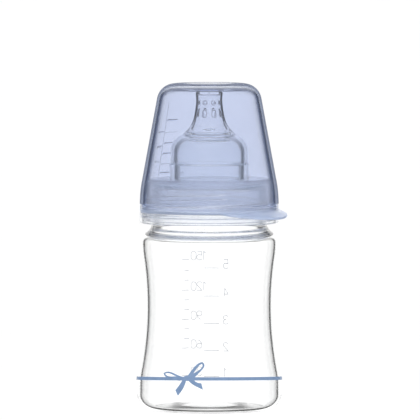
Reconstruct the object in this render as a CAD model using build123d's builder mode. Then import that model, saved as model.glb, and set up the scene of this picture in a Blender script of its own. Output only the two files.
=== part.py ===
from build123d import *

import os
from math import cos, hypot, radians, sin, sqrt

# Wide-neck glass baby bottle: glass body, silicone teat, screw ring and see-through cap.
# Millimetres, +Z up. The origin is the centre of the base, on the bottle's axis.
# The front, which carries the printed bow, faces -Y. A heading is an angle in
# degrees from the front, growing towards +X.

# ------------------------------------------------------------ driving dimensions

# Glass body.
BASE_R = 32.75
BASE_CORNER_R = 8.0
BASE_STAND_R = 21.0
BASE_PUNT_H = 1.2
BELLY_ARC_R = 40.0
WAIST_R = 29.25
WAIST_Z = 47.0
CHEST_ARC_R = 45.0
SHOULDER_R = 31.4
SHOULDER_Z = 75.4
SHOULDER_ARC_R = 5.0
GLASS_WALL = 2.3
FLOOR_CENTRE_Z = 5.4
FLOOR_CORNER_R = 5.7
FLOOR_CORNER_Z = 7.4
NECK_R = 25.8
NECK_FOOT_ARC_R = 6.0
NECK_BORE_R = 22.8
NECK_BORE_FOOT_R = 2.5
RIM_Z = 100.4
RIM_ROUND_R = 1.2
WALL_START_Z = 10.7

# Right-handed screw thread between the neck and the ring.
THREAD_PITCH = 5.0
THREAD_TURNS = 1.25
THREAD_DEPTH = 1.0
THREAD_ROOT_W = 2.4
THREAD_CREST_W = 1.1
THREAD_SINK = 0.3
THREAD_PLAY = 0.3
THREAD_START_HEADING = 200.0
NECK_THREAD_Z = 91.0
RING_THREAD_DROP = 1.8

# Screw ring.
RING_R = 28.7
RING_BORE_R = NECK_R + THREAD_DEPTH + THREAD_PLAY
RING_FLANGE_R = 31.3
RING_BOTTOM_Z = 84.4
RING_BORE_FOOT_Z = 85.2
RING_LEDGE_Z = 89.3
RING_TOP_Z = 104.3
RING_TOP_T = 1.9
RING_SKIRT_T = 1.4
RING_WEB_T = 1.6
RING_OPENING_R = 17.7
RING_TOP_ROUND_R = 2.3
RING_EDGE_ROUND_R = 0.5

# Teat. The ring's top wall sits in a groove between the flange and the bead.
TEAT_CLEARANCE = 0.05
TEAT_FLANGE_R = 25.3
TEAT_FLANGE_BOTTOM_Z = RIM_Z + TEAT_CLEARANCE
TEAT_FLANGE_TOP_Z = RING_TOP_Z - RING_TOP_T - TEAT_CLEARANCE
TEAT_PLUG_R = 22.55
TEAT_PLUG_BORE_R = 20.6
TEAT_PLUG_Z = 98.9
TEAT_GROOVE_R = 17.45
TEAT_BEAD_R = 17.95
TEAT_BEAD_Z = RING_TOP_Z + TEAT_CLEARANCE
TEAT_BEAD_TOP_Z = 110.7
TEAT_WALL_R = 17.4
TEAT_DOME_Z = 117.2
TEAT_FOOT_BORE_R = 13.8
TEAT_BORE_R = 14.5
TEAT_BELLOWS_R = 9.3
TEAT_EDGE_ROUND_R = 0.4
NIPPLE_R = 6.0
NIPPLE_TOP_Z = 144.9
NIPPLE_ROUND_R = 1.3
NIPPLE_TIP_T = 1.9
NIPPLE_BORE_ROUND_R = 0.9
FEED_HOLE_R = 0.25
VENT_HOLE_R = 0.5
VENT_HOLE_AT_R = 19.2

# Studs inside the nipple keep it from closing flat: an upper and a lower row.
STUD_COUNT = 8
STUD_W = 2.1
STUD_DEPTH = 0.5
STUD_SINK = 0.4
STUD_ROWS = [
    {"z": 138.4, "wall_r": 5.0, "length": 2.2},
    {"z": 133.2, "wall_r": 5.45, "length": 4.6},
]

# Cap, standing on the ring's ledge.
CAP_BOTTOM_Z = RING_LEDGE_Z + 0.1
CAP_BOTTOM_R = 31.3
CAP_BEND_R = 30.4
CAP_BEND_Z = 102.6
CAP_SHOULDER_R = 23.47
CAP_SHOULDER_Z = 140.4
CAP_CORNER_R = 8.0
CAP_ROOF_R = 15.6
CAP_ROOF_Z = 147.0
CAP_TOP_Z = 147.6
CAP_WALL = 1.4
CAP_BEAD_R = RING_R + 0.15
CAP_BEAD_Z = 91.6
CAP_BEAD_H = 2.6
CAP_BOSS_R = 6.6
CAP_BOSS_BORE_R = 5.2
CAP_BOSS_Z = NIPPLE_TOP_Z + 0.2

# Thumb tab on the cap's rim: the edge of a disc that is off the axis and tilted.
TAB_HEADING = 58.0
TAB_DISC_R = 25.4
TAB_OFFSET = 11.8
TAB_TIP_Z = 87.1
TAB_T = 1.2
TAB_FLARE_IN = 6.1
TAB_FLARE_H = 3.6
TAB_CLEAR_R = RING_FLANGE_R + 0.3

# Raised measuring lines on the cap's wall.
CAP_SCALE_HEADING = -127.0
CAP_SCALE_H = 0.15
CAP_SCALE_LINE_W = 0.4
CAP_SCALE_BOTTOM_Z = 104.8
CAP_SCALE_TOP_Z = 138.0
CAP_SCALE_GAP = 1.0
CAP_ML_LINES_Z = [105.7, 109.8, 114.4, 119.1, 124.1, 129.6]
CAP_ML_LINE_L = 6.6
CAP_OZ_LINES_Z = [111.3, 118.0, 124.6]
CAP_OZ_LINE_L = 4.4

# Fired enamel prints on the glass.
PRINT_GAP = 0.03
PRINT_T = 0.12
PRINT_FROM_Y = 20.0
PRINT_REACH = BASE_R + 2.0
RIBBON_Z = 14.3
RIBBON_W = 1.5
RIBBON_RISE = 3.1
BOW_X = -10.3
BOW_Z = 16.2

# Scale on the back, in millilitres on the right and fluid ounces on the left.
ML_MARKS = {30: 13.6, 60: 26.1, 90: 39.2, 120: 52.4, 150: 65.9}
ML_STEP = 30
ML_MINOR_MARKS = [70, 80, 100, 110, 130, 140]
ML_PER_OUNCE = 28.41
OUNCE_MARKS = [1, 2, 3, 4, 5]
SCALE_LINE_W = 0.3
DIGIT_W = 2.4
DIGIT_H = 3.8
DIGIT_PITCH = 2.8
DIGIT_DROP = 0.15
ML_DIGITS_RIGHT_X = 8.7
ML_LINE_X = 9.6
ML_LINE_L = 3.6
ML_MINOR_LINE_L = 2.4
OUNCE_DIGITS_RIGHT_X = -6.7
OUNCE_LINE_X = -4.8
OUNCE_LINE_L = 7.3

# The strokes of each digit, as points across and up a box DIGIT_W by DIGIT_H.
SIX_BOWL = [(0.6, 0), (1.8, 0), (2.4, 0.7), (2.4, 1.5), (1.8, 2.2),
            (0.6, 2.2), (0, 1.5), (0, 0.7), (0.6, 0)]
SIX_STEM = [(0, 1.4), (0.5, 3.0), (1.9, 3.8)]
DIGIT_STROKES = {
    "0": [[(0.6, 0), (1.8, 0), (2.4, 0.8), (2.4, 3.0), (1.8, 3.8),
           (0.6, 3.8), (0, 3.0), (0, 0.8), (0.6, 0)]],
    "1": [[(0.9, 3.0), (1.9, 3.8), (1.9, 0)]],
    "2": [[(0, 3.1), (0.6, 3.8), (1.8, 3.8), (2.4, 3.1), (2.4, 2.5), (0, 0), (2.4, 0)]],
    "3": [[(0, 3.3), (0.6, 3.8), (1.7, 3.8), (2.3, 3.3), (2.3, 2.5), (1.6, 2.0), (0.9, 2.0)],
          [(1.6, 2.0), (2.4, 1.4), (2.4, 0.6), (1.7, 0), (0.6, 0), (0, 0.5)]],
    "4": [[(1.7, 3.8), (0, 1.1), (2.4, 1.1)], [(1.7, 3.8), (1.7, 0)]],
    "5": [[(2.2, 3.8), (0.3, 3.8), (0.1, 2.1), (1.7, 2.3), (2.4, 1.6),
           (2.4, 0.7), (1.7, 0), (0.6, 0), (0, 0.5)]],
    "6": [SIX_BOWL, SIX_STEM],
    "9": [[(DIGIT_W - x, DIGIT_H - y) for x, y in stroke] for stroke in (SIX_BOWL, SIX_STEM)],
}


# ------------------------------------------------------------ shared shapes


def on_heading(radius, heading, z=0.0):
    """The point at a radius, a heading and a height."""
    return Vector(radius * sin(radians(heading)), -radius * cos(radians(heading)), z)


def corner_at(sketch, x, y):
    """The corner of a sketch nearest to x, y."""
    return sketch.vertices().sort_by(lambda v: hypot(v.X - x, v.Y - y))[0]


def waist_arcs(shift, edge_r, edge_z, edge_arc_r):
    """Where a convex arc at an edge meets the waist's concave one, and the concave radius."""
    span_r = edge_r - WAIST_R
    span_z = WAIST_Z - edge_z
    arcs_apart = (span_r**2 + span_z**2) / (2 * span_r)
    reach = (edge_arc_r + shift) / arcs_apart
    meet = (
        edge_r - edge_arc_r + reach * (arcs_apart - span_r),
        edge_z + reach * span_z,
    )
    return meet, arcs_apart - edge_arc_r - shift


def glass_wall(shift):
    """The line of the glass's wall from belly to shoulder, moved out by shift."""
    belly = (BASE_R + shift, WALL_START_Z)
    waist = (WAIST_R + shift, WAIST_Z)
    chest = (SHOULDER_R + shift, SHOULDER_Z)
    low, low_waist_r = waist_arcs(shift, BASE_R, WALL_START_Z, BELLY_ARC_R)
    high, high_waist_r = waist_arcs(shift, SHOULDER_R, SHOULDER_Z, CHEST_ARC_R)
    RadiusArc(belly, low, -(BELLY_ARC_R + shift))
    RadiusArc(low, waist, low_waist_r)
    RadiusArc(waist, high, high_waist_r)
    RadiusArc(high, chest, -(CHEST_ARC_R + shift))


def thread_ridge(wall_r, start_z, side):
    """A helical ridge on a round wall; side is 1 to stand outwards and -1 inwards."""
    half_crest = THREAD_CREST_W / 2
    flank = (THREAD_ROOT_W / 2 - half_crest) / THREAD_DEPTH
    half_sunk = THREAD_ROOT_W / 2 + flank * THREAD_SINK
    with BuildPart() as ridge:
        with BuildLine() as path:
            Helix(THREAD_PITCH, THREAD_PITCH * THREAD_TURNS, wall_r, (0, 0, start_z))
        start = path.line @ 0
        with BuildSketch(Plane(start, x_dir=(side, 0, 0), z_dir=path.line % 0)):
            with BuildLine():
                Polyline(
                    (-THREAD_SINK, -half_sunk),
                    (THREAD_DEPTH, -half_crest),
                    (THREAD_DEPTH, half_crest),
                    (-THREAD_SINK, half_sunk),
                    close=True,
                )
            make_face()
        sweep(path=path.line, is_frenet=True)
    return ridge.part.rotate(Axis.Z, THREAD_START_HEADING)


# ------------------------------------------------------------ glass bottle

# The concave foot of the neck runs into the convex shoulder with no corner.
shoulder_x = SHOULDER_R - SHOULDER_ARC_R
foot_x = NECK_R + NECK_FOOT_ARC_R
arcs_apart = SHOULDER_ARC_R + NECK_FOOT_ARC_R
foot_rise = sqrt(arcs_apart**2 - (foot_x - shoulder_x) ** 2)
foot_z = SHOULDER_Z + foot_rise
shoulder_share = SHOULDER_ARC_R / arcs_apart
meet_x = shoulder_x + shoulder_share * (foot_x - shoulder_x)
meet_z = SHOULDER_Z + shoulder_share * foot_rise
ceiling_r = SHOULDER_ARC_R - GLASS_WALL
ceiling_z = SHOULDER_Z + ceiling_r
punt_r = (BASE_STAND_R**2 + BASE_PUNT_H**2) / (2 * BASE_PUNT_H)

# Inside, the round corner over the stand runs into the domed floor with no crease.
valley_x = BASE_R - GLASS_WALL - FLOOR_CORNER_R
valley_rise = FLOOR_CORNER_Z - FLOOR_CENTRE_Z
dome_r = (valley_x**2 + valley_rise**2 - FLOOR_CORNER_R**2) / (
    2 * (FLOOR_CORNER_R - valley_rise)
)
dome_share = FLOOR_CORNER_R / (dome_r + FLOOR_CORNER_R)
floor_foot = (
    valley_x * (1 - dome_share),
    FLOOR_CORNER_Z - dome_share * (dome_r + valley_rise),
)

neck_thread = thread_ridge(NECK_R, NECK_THREAD_Z, 1)

with BuildPart() as glass_bottle:
    with BuildSketch(Plane.XZ):
        with BuildLine():
            # Outside, from the axis up to the rim.
            punt = RadiusArc((0, BASE_PUNT_H), (BASE_STAND_R, 0), punt_r)
            stand = Line(punt @ 1, (BASE_R - BASE_CORNER_R, 0))
            corner = RadiusArc(stand @ 1, (BASE_R, BASE_CORNER_R), -BASE_CORNER_R)
            Line(corner @ 1, (BASE_R, WALL_START_Z))
            glass_wall(0)
            shoulder = RadiusArc(
                (SHOULDER_R, SHOULDER_Z), (meet_x, meet_z), -SHOULDER_ARC_R
            )
            foot = RadiusArc(shoulder @ 1, (NECK_R, foot_z), NECK_FOOT_ARC_R)
            neck = Line(foot @ 1, (NECK_R, RIM_Z - RIM_ROUND_R))
            rim_out = RadiusArc(neck @ 1, (NECK_R - RIM_ROUND_R, RIM_Z), -RIM_ROUND_R)
            rim_in = RadiusArc(
                (NECK_BORE_R + RIM_ROUND_R, RIM_Z),
                (NECK_BORE_R, RIM_Z - RIM_ROUND_R),
                -RIM_ROUND_R,
            )
            Line(rim_out @ 1, rim_in @ 0)
            # Inside, from the rim down to the axis.
            bore = Line(rim_in @ 1, (NECK_BORE_R, ceiling_z + NECK_BORE_FOOT_R))
            bore_foot = RadiusArc(
                bore @ 1, (NECK_BORE_R + NECK_BORE_FOOT_R, ceiling_z), NECK_BORE_FOOT_R
            )
            ceiling = Line(bore_foot @ 1, (shoulder_x, ceiling_z))
            RadiusArc(ceiling @ 1, (shoulder_x + ceiling_r, SHOULDER_Z), ceiling_r)
            glass_wall(-GLASS_WALL)
            Line(
                (BASE_R - GLASS_WALL, WALL_START_Z), (BASE_R - GLASS_WALL, FLOOR_CORNER_Z)
            )
            floor_corner = RadiusArc(
                (BASE_R - GLASS_WALL, FLOOR_CORNER_Z), floor_foot, FLOOR_CORNER_R
            )
            floor = RadiusArc(floor_corner @ 1, (0, FLOOR_CENTRE_Z), -dome_r)
            Line(floor @ 1, punt @ 0)
        make_face()
    revolve(axis=Axis.Z)
    add(neck_thread)

glass_bottle.part.label = "glass_bottle"


# ------------------------------------------------------------ enamel prints


def wall_form(shift):
    """A solid that fills the bottle's wall from heel to shoulder, moved out by shift."""
    with BuildPart() as form:
        with BuildSketch(Plane.XZ):
            with BuildLine():
                glass_wall(shift)
                Polyline(
                    (SHOULDER_R + shift, SHOULDER_Z),
                    (0, SHOULDER_Z),
                    (0, BASE_CORNER_R),
                    (BASE_R + shift, BASE_CORNER_R),
                    (BASE_R + shift, WALL_START_Z),
                )
            make_face()
        revolve(axis=Axis.Z)
    return form.part


print_outside = wall_form(PRINT_GAP + PRINT_T)
print_inside = wall_form(PRINT_GAP)


def bow_leaf(there, back, mode=Mode.ADD):
    """A leaf between two curved edges: one there, and one back to its start."""
    with BuildLine() as outline:
        far = Spline(there)
        Spline([far @ 1] + back + [far @ 0])
    make_face(outline.edges(), mode=mode)


def bow_tail(left_edge, tip, right_edge):
    """A ribbon's tail: two curved edges that start at the knot, joined round the tip."""
    with BuildLine() as outline:
        left = Spline(left_edge)
        right = Spline(right_edge)
        Polyline(left @ 1, tip, right @ 1)
        Line(left @ 0, right @ 0)
    make_face(outline.edges())


with BuildPart() as ribbon_print:
    # The bow is drawn from the middle of its knot.
    with BuildSketch(
        Plane((BOW_X, -PRINT_FROM_Y, BOW_Z), x_dir=(1, 0, 0), z_dir=(0, -1, 0))
    ):
        # Left loop, right loop, the two tails and the knot.
        bow_leaf(
            [(-0.4, 0.7), (-4.75, 1.75), (-8.25, 2.7), (-10.2, 1.9)],
            [(-9.4, 0.5), (-6.3, -0.6), (-2.5, -1.05)],
        )
        bow_leaf(
            [(-4.3, 0.75), (-5.9, 1.35), (-8.1, 2.05), (-9.45, 1.7)],
            [(-8.7, 0.95), (-6.5, 0.6)],
            mode=Mode.SUBTRACT,
        )
        bow_leaf(
            [(0.5, 1.0), (1.75, 2.75), (3.75, 5.25), (5.75, 6.9), (7.3, 7.3)],
            [(8.15, 5.7), (7.25, 4.0), (5.25, 2.0), (2.6, -0.2)],
        )
        bow_leaf(
            [(3.3, 2.2), (4.25, 3.9), (5.9, 5.8), (7.0, 6.5)],
            [(7.3, 5.7), (6.6, 4.5), (5.25, 3.4)],
            mode=Mode.SUBTRACT,
        )
        bow_tail(
            [(-1.6, -0.6), (-3.25, -3.25), (-4.9, -5.4)],
            (-3.75, -8.0),
            [(0, -0.6), (-1.25, -4.25), (-2.75, -6.6)],
        )
        bow_tail(
            [(2.9, -0.2), (4.3, -1.5), (6.75, -2.1)],
            (7.5, -5.0),
            [(0.6, -0.6), (2.25, -2.25), (4.25, -3.5)],
        )
        with Locations((0.5, 0)):
            Ellipse(2.0, 1.2)
    extrude(amount=PRINT_REACH - PRINT_FROM_Y)
    # The ribbon runs round the front half of the bottle and rises a little to the front.
    with BuildSketch(
        Plane(
            (0, 0, RIBBON_Z),
            x_dir=(1, 0, 0),
            z_dir=(0, -cos(radians(RIBBON_RISE)), sin(radians(RIBBON_RISE))),
        )
    ):
        Rectangle(2 * PRINT_REACH, RIBBON_W)
    extrude(amount=PRINT_REACH)
    add(print_outside, mode=Mode.INTERSECT)
    add(print_inside, mode=Mode.SUBTRACT)

ribbon_print.part.label = "ribbon_print"


def level_of(millilitres):
    """The height of the liquid at a volume, between the numbered marks around it."""
    low = max(ML_STEP, int(millilitres // ML_STEP) * ML_STEP)
    rise_per_ml = (ML_MARKS[low + ML_STEP] - ML_MARKS[low]) / ML_STEP
    return ML_MARKS[low] + rise_per_ml * (millilitres - low)


def scale_line(left_x, z, length):
    """A level line of the scale, from left_x to the right."""
    with Locations((left_x, z)):
        Rectangle(length, SCALE_LINE_W, align=(Align.MIN, Align.CENTER))


def scale_number(number, right_x, z):
    """A number of the scale, ending at right_x and standing on the level of its line."""
    digits = str(number)
    left_x = right_x - DIGIT_W - DIGIT_PITCH * (len(digits) - 1)
    for place, digit in enumerate(digits):
        for stroke in DIGIT_STROKES[digit]:
            with BuildLine() as centre_line:
                Polyline(
                    [
                        (left_x + DIGIT_PITCH * place + across, z - DIGIT_DROP + up)
                        for across, up in stroke
                    ]
                )
            trace(centre_line.edges(), line_width=SCALE_LINE_W)


with BuildPart() as scale_print:
    # The scale is read from the back, so its right is towards -X.
    with BuildSketch(Plane((0, PRINT_FROM_Y, 0), x_dir=(-1, 0, 0), z_dir=(0, 1, 0))):
        for number, mark_z in ML_MARKS.items():
            scale_line(ML_LINE_X, mark_z, ML_LINE_L)
            scale_number(number, ML_DIGITS_RIGHT_X, mark_z)
        for volume in ML_MINOR_MARKS:
            scale_line(ML_LINE_X, level_of(volume), ML_MINOR_LINE_L)
        for number in OUNCE_MARKS:
            mark_z = level_of(number * ML_PER_OUNCE)
            scale_line(OUNCE_LINE_X, mark_z, OUNCE_LINE_L)
            scale_number(number, OUNCE_DIGITS_RIGHT_X, mark_z)
    extrude(amount=PRINT_REACH - PRINT_FROM_Y)
    add(print_outside, mode=Mode.INTERSECT)
    add(print_inside, mode=Mode.SUBTRACT)

scale_print.part.label = "scale_print"


# ------------------------------------------------------------ screw ring

ring_top_under_z = RING_TOP_Z - RING_TOP_T
ring_web_z = RING_LEDGE_Z - RING_WEB_T
skirt_bore_r = RING_FLANGE_R - RING_SKIRT_T
ring_corners = [
    (RING_OPENING_R, RING_TOP_Z),
    (RING_R, RING_TOP_Z),
    (RING_R, RING_LEDGE_Z),
    (RING_FLANGE_R, RING_LEDGE_Z),
    (RING_FLANGE_R, RING_BOTTOM_Z),
    (skirt_bore_r, RING_BOTTOM_Z),
    (skirt_bore_r, ring_web_z),
    (RING_R, ring_web_z),
    (RING_R, RING_BORE_FOOT_Z),
    (RING_BORE_R, RING_BORE_FOOT_Z),
    (RING_BORE_R, ring_top_under_z),
    (RING_OPENING_R, ring_top_under_z),
]

ring_thread = thread_ridge(RING_BORE_R, NECK_THREAD_Z - RING_THREAD_DROP, -1)

with BuildPart() as screw_ring:
    with BuildSketch(Plane.XZ) as ring_section:
        with BuildLine():
            Polyline(ring_corners, close=True)
        make_face()
        for corner_r, corner_z in ring_corners:
            is_top = (corner_r, corner_z) == (RING_R, RING_TOP_Z)
            fillet(
                corner_at(ring_section, corner_r, corner_z),
                RING_TOP_ROUND_R if is_top else RING_EDGE_ROUND_R,
            )
    revolve(axis=Axis.Z)
    add(ring_thread)

screw_ring.part.label = "screw_ring"


# ------------------------------------------------------------ teat


def nipple_stud(wall_r, z, length, heading):
    """An oval stud that stands out of the nipple's inner wall towards the axis."""
    back = on_heading(wall_r + STUD_SINK, heading, z)
    with BuildPart() as stud:
        with BuildSketch(Plane(back, x_dir=(0, 0, 1), z_dir=-on_heading(1, heading))):
            Ellipse(length / 2, STUD_W / 2)
        extrude(amount=STUD_SINK + STUD_DEPTH)
        crown = stud.edges().sort_by(lambda e: hypot(e.center().X, e.center().Y))[0]
        fillet(crown, STUD_DEPTH * 0.8)
    return stud.part


nipple_studs = [
    nipple_stud(row["wall_r"], row["z"], row["length"], 360 / STUD_COUNT * (i + 0.5))
    for row in STUD_ROWS
    for i in range(STUD_COUNT)
]
milk_top_z = NIPPLE_TOP_Z - NIPPLE_TIP_T
milk_r = STUD_ROWS[0]["wall_r"]
teat_foot_z = TEAT_BEAD_Z - 0.8

with BuildPart() as teat:
    with BuildSketch(Plane.XZ) as teat_section:
        with BuildLine():
            # Outside, from the plug up to the tip.
            clamp = Polyline(
                (TEAT_PLUG_BORE_R, TEAT_PLUG_Z),
                (TEAT_PLUG_R, TEAT_PLUG_Z),
                (TEAT_PLUG_R, TEAT_FLANGE_BOTTOM_Z),
                (TEAT_FLANGE_R, TEAT_FLANGE_BOTTOM_Z),
                (TEAT_FLANGE_R, TEAT_FLANGE_TOP_Z),
                (TEAT_GROOVE_R, TEAT_FLANGE_TOP_Z),
                (TEAT_GROOVE_R, TEAT_BEAD_Z),
                (TEAT_BEAD_R, TEAT_BEAD_Z),
                (TEAT_BEAD_R, TEAT_BEAD_TOP_Z),
                (TEAT_WALL_R, TEAT_BEAD_TOP_Z + 0.4),
                (TEAT_WALL_R, TEAT_DOME_Z),
            )
            dome = Spline(
                clamp @ 1,
                (14.4, 122.75),
                (11.9, 124.3),
                (8.2, 128.2),
                (6.35, 134.6),
                (5.85, 140.0),
                (NIPPLE_R, NIPPLE_TOP_Z - NIPPLE_ROUND_R),
                tangents=[(0, 1), (0, 1)],
            )
            tip_round = RadiusArc(
                dome @ 1, (NIPPLE_R - NIPPLE_ROUND_R, NIPPLE_TOP_Z), -NIPPLE_ROUND_R
            )
            tip = Line(tip_round @ 1, (0, NIPPLE_TOP_Z))
            # Inside, from the tip down to the plug.
            milk_round = RadiusArc(
                (milk_r - NIPPLE_BORE_ROUND_R, milk_top_z),
                (milk_r, milk_top_z - NIPPLE_BORE_ROUND_R),
                NIPPLE_BORE_ROUND_R,
            )
            Polyline(tip @ 1, (0, milk_top_z), milk_round @ 0)
            nipple_bore = Spline(
                milk_round @ 1,
                (STUD_ROWS[1]["wall_r"], STUD_ROWS[1]["z"]),
                (6.4, 129.2),
                (8.2, 125.5),
                tangents=[(0, -1), (1, -1)],
            )
            # The bellows: a ledge over a thin-walled pocket at the nipple's foot.
            bellows = Polyline(
                nipple_bore @ 1, (TEAT_BELLOWS_R, 124.6), (TEAT_BELLOWS_R, 122.1)
            )
            dome_bore = Spline(
                bellows @ 1,
                (13.4, 119.4),
                (TEAT_BORE_R, 116.2),
                tangents=[(1, -0.25), (0, -1)],
            )
            Polyline(
                dome_bore @ 1,
                (TEAT_BORE_R, TEAT_BEAD_TOP_Z + 0.4),
                (TEAT_FOOT_BORE_R, TEAT_BEAD_TOP_Z - 0.4),
                (TEAT_FOOT_BORE_R, teat_foot_z),
                (VENT_HOLE_AT_R - 1.2, TEAT_FLANGE_BOTTOM_Z + 0.5),
                (TEAT_PLUG_BORE_R, TEAT_FLANGE_BOTTOM_Z - 0.2),
                clamp @ 0,
            )
        make_face()
        for corner_r, corner_z in [
            (TEAT_PLUG_R, TEAT_PLUG_Z),
            (TEAT_FLANGE_R, TEAT_FLANGE_BOTTOM_Z),
            (TEAT_FLANGE_R, TEAT_FLANGE_TOP_Z),
            (TEAT_BEAD_R, TEAT_BEAD_Z),
            (TEAT_FOOT_BORE_R, teat_foot_z),
        ]:
            fillet(corner_at(teat_section, corner_r, corner_z), TEAT_EDGE_ROUND_R)
    revolve(axis=Axis.Z)
    add(nipple_studs)
    with Locations((0, 0, NIPPLE_TOP_Z)):
        Hole(FEED_HOLE_R, depth=2 * NIPPLE_TIP_T)
    with Locations((0, VENT_HOLE_AT_R, TEAT_FLANGE_TOP_Z)):
        Hole(VENT_HOLE_R, depth=TEAT_FLANGE_TOP_Z - TEAT_PLUG_Z)

teat.part.label = "teat"


# ------------------------------------------------------------ cap


def cap_form(shift):
    """A solid with the cap's outer shape, moved in all over by shift."""
    taper = (CAP_SHOULDER_R - CAP_BEND_R, CAP_SHOULDER_Z - CAP_BEND_Z)
    with BuildPart() as form:
        with BuildSketch(Plane.XZ):
            with BuildLine():
                bend = Spline(
                    (CAP_BOTTOM_R - shift, CAP_BOTTOM_Z),
                    (CAP_BEND_R - shift, CAP_BEND_Z),
                    tangents=[(0, 1), taper],
                )
                wall = Line(bend @ 1, (CAP_SHOULDER_R - shift, CAP_SHOULDER_Z))
                corner = RadiusArc(
                    wall @ 1, (CAP_ROOF_R, CAP_ROOF_Z - shift), -(CAP_CORNER_R - shift)
                )
                roof = Spline(
                    corner @ 1, (0, CAP_TOP_Z - shift), tangents=[corner % 1, (-1, 0)]
                )
                Polyline(roof @ 1, (0, CAP_BOTTOM_Z), bend @ 0)
            make_face()
        revolve(axis=Axis.Z)
    return form.part


# The tab's disc is level with the cap's rim where its edge crosses the wall.
tab_cross = (CAP_BOTTOM_R**2 - TAB_DISC_R**2 + TAB_OFFSET**2) / (2 * TAB_OFFSET)
tab_reach = TAB_OFFSET + TAB_DISC_R - tab_cross
tab_drop = CAP_BOTTOM_Z + TAB_T / 2 - TAB_TIP_Z
tab_centre_z = TAB_TIP_Z + tab_drop * TAB_DISC_R / tab_reach
tab_centre = on_heading(TAB_OFFSET, TAB_HEADING, tab_centre_z)
tab_plane = Plane(
    tab_centre,
    x_dir=on_heading(tab_reach, TAB_HEADING, -tab_drop),
    z_dir=-on_heading(1, TAB_HEADING + 90),
)
tab_flare_r = TAB_DISC_R - TAB_FLARE_IN
tab_flat_r = TAB_DISC_R - TAB_T / 2
tab_flare_top = TAB_T / 2 + TAB_FLARE_H

with BuildPart() as cap_tab:
    with BuildSketch(tab_plane):
        with BuildLine():
            flare = Spline(
                (tab_flare_r, tab_flare_top),
                (tab_flat_r, TAB_T / 2),
                tangents=[(0, -1), (1, -0.02)],
            )
            edge = ThreePointArc(flare @ 1, (TAB_DISC_R, 0), (tab_flat_r, -TAB_T / 2))
            Polyline(edge @ 1, (0, -TAB_T / 2), (0, tab_flare_top), flare @ 0)
        make_face()
    revolve(axis=Axis(tab_centre, tab_plane.y_dir))
    with BuildSketch(Plane.XY.offset(CAP_BOTTOM_Z)):
        Circle(TAB_CLEAR_R)
    extrude(amount=-CAP_BOTTOM_Z, mode=Mode.SUBTRACT)

# Seen from outside, millilitres are left of the upright line and ounces are right.
cap_scale_plane = Plane(
    (0, 0, 0),
    x_dir=on_heading(1, CAP_SCALE_HEADING + 90),
    z_dir=on_heading(1, CAP_SCALE_HEADING),
)
cap_raised = cap_form(-CAP_SCALE_H)

with BuildPart() as cap_lines:
    with BuildSketch(cap_scale_plane):
        with Locations((0, CAP_SCALE_BOTTOM_Z)):
            Rectangle(
                CAP_SCALE_LINE_W,
                CAP_SCALE_TOP_Z - CAP_SCALE_BOTTOM_Z,
                align=(Align.CENTER, Align.MIN),
            )
        with Locations([(-CAP_SCALE_GAP, z) for z in CAP_ML_LINES_Z]):
            Rectangle(CAP_ML_LINE_L, CAP_SCALE_LINE_W, align=(Align.MAX, Align.CENTER))
        with Locations([(CAP_SCALE_GAP, z) for z in CAP_OZ_LINES_Z]):
            Rectangle(CAP_OZ_LINE_L, CAP_SCALE_LINE_W, align=(Align.MIN, Align.CENTER))
    extrude(amount=CAP_BOTTOM_R + 1)
    add(cap_raised, mode=Mode.INTERSECT)

cap_outer = cap_form(0)
cap_hollow = cap_form(CAP_WALL)
bead_root_r = CAP_BOTTOM_R - CAP_WALL + 0.2

with BuildPart() as cap:
    add(cap_outer)
    add(cap_tab.part)
    add(cap_lines.part)
    add(cap_hollow, mode=Mode.SUBTRACT)
    # The bead grips the ring's wall, and the boss closes over the nipple's tip.
    with BuildSketch(Plane.XZ):
        with BuildLine():
            bead = ThreePointArc(
                (bead_root_r, CAP_BEAD_Z - CAP_BEAD_H / 2),
                (CAP_BEAD_R, CAP_BEAD_Z),
                (bead_root_r, CAP_BEAD_Z + CAP_BEAD_H / 2),
            )
            Line(bead @ 1, bead @ 0)
        make_face()
    revolve(axis=Axis.Z)
    with BuildSketch(Plane.XY.offset(CAP_BOSS_Z)):
        Circle(CAP_BOSS_R)
        Circle(CAP_BOSS_BORE_R, mode=Mode.SUBTRACT)
    extrude(amount=CAP_TOP_Z - CAP_WALL / 2 - CAP_BOSS_Z)

cap.part.label = "cap"


# ------------------------------------------------------------ export

os.makedirs("parts", exist_ok=True)
export_step(glass_bottle.part, "parts/glass_bottle.step")
export_step(ribbon_print.part, "parts/ribbon_print.step")
export_step(scale_print.part, "parts/scale_print.step")
export_step(screw_ring.part, "parts/screw_ring.step")
export_step(teat.part, "parts/teat.step")
export_step(cap.part, "parts/cap.step")
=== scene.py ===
import math

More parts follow.
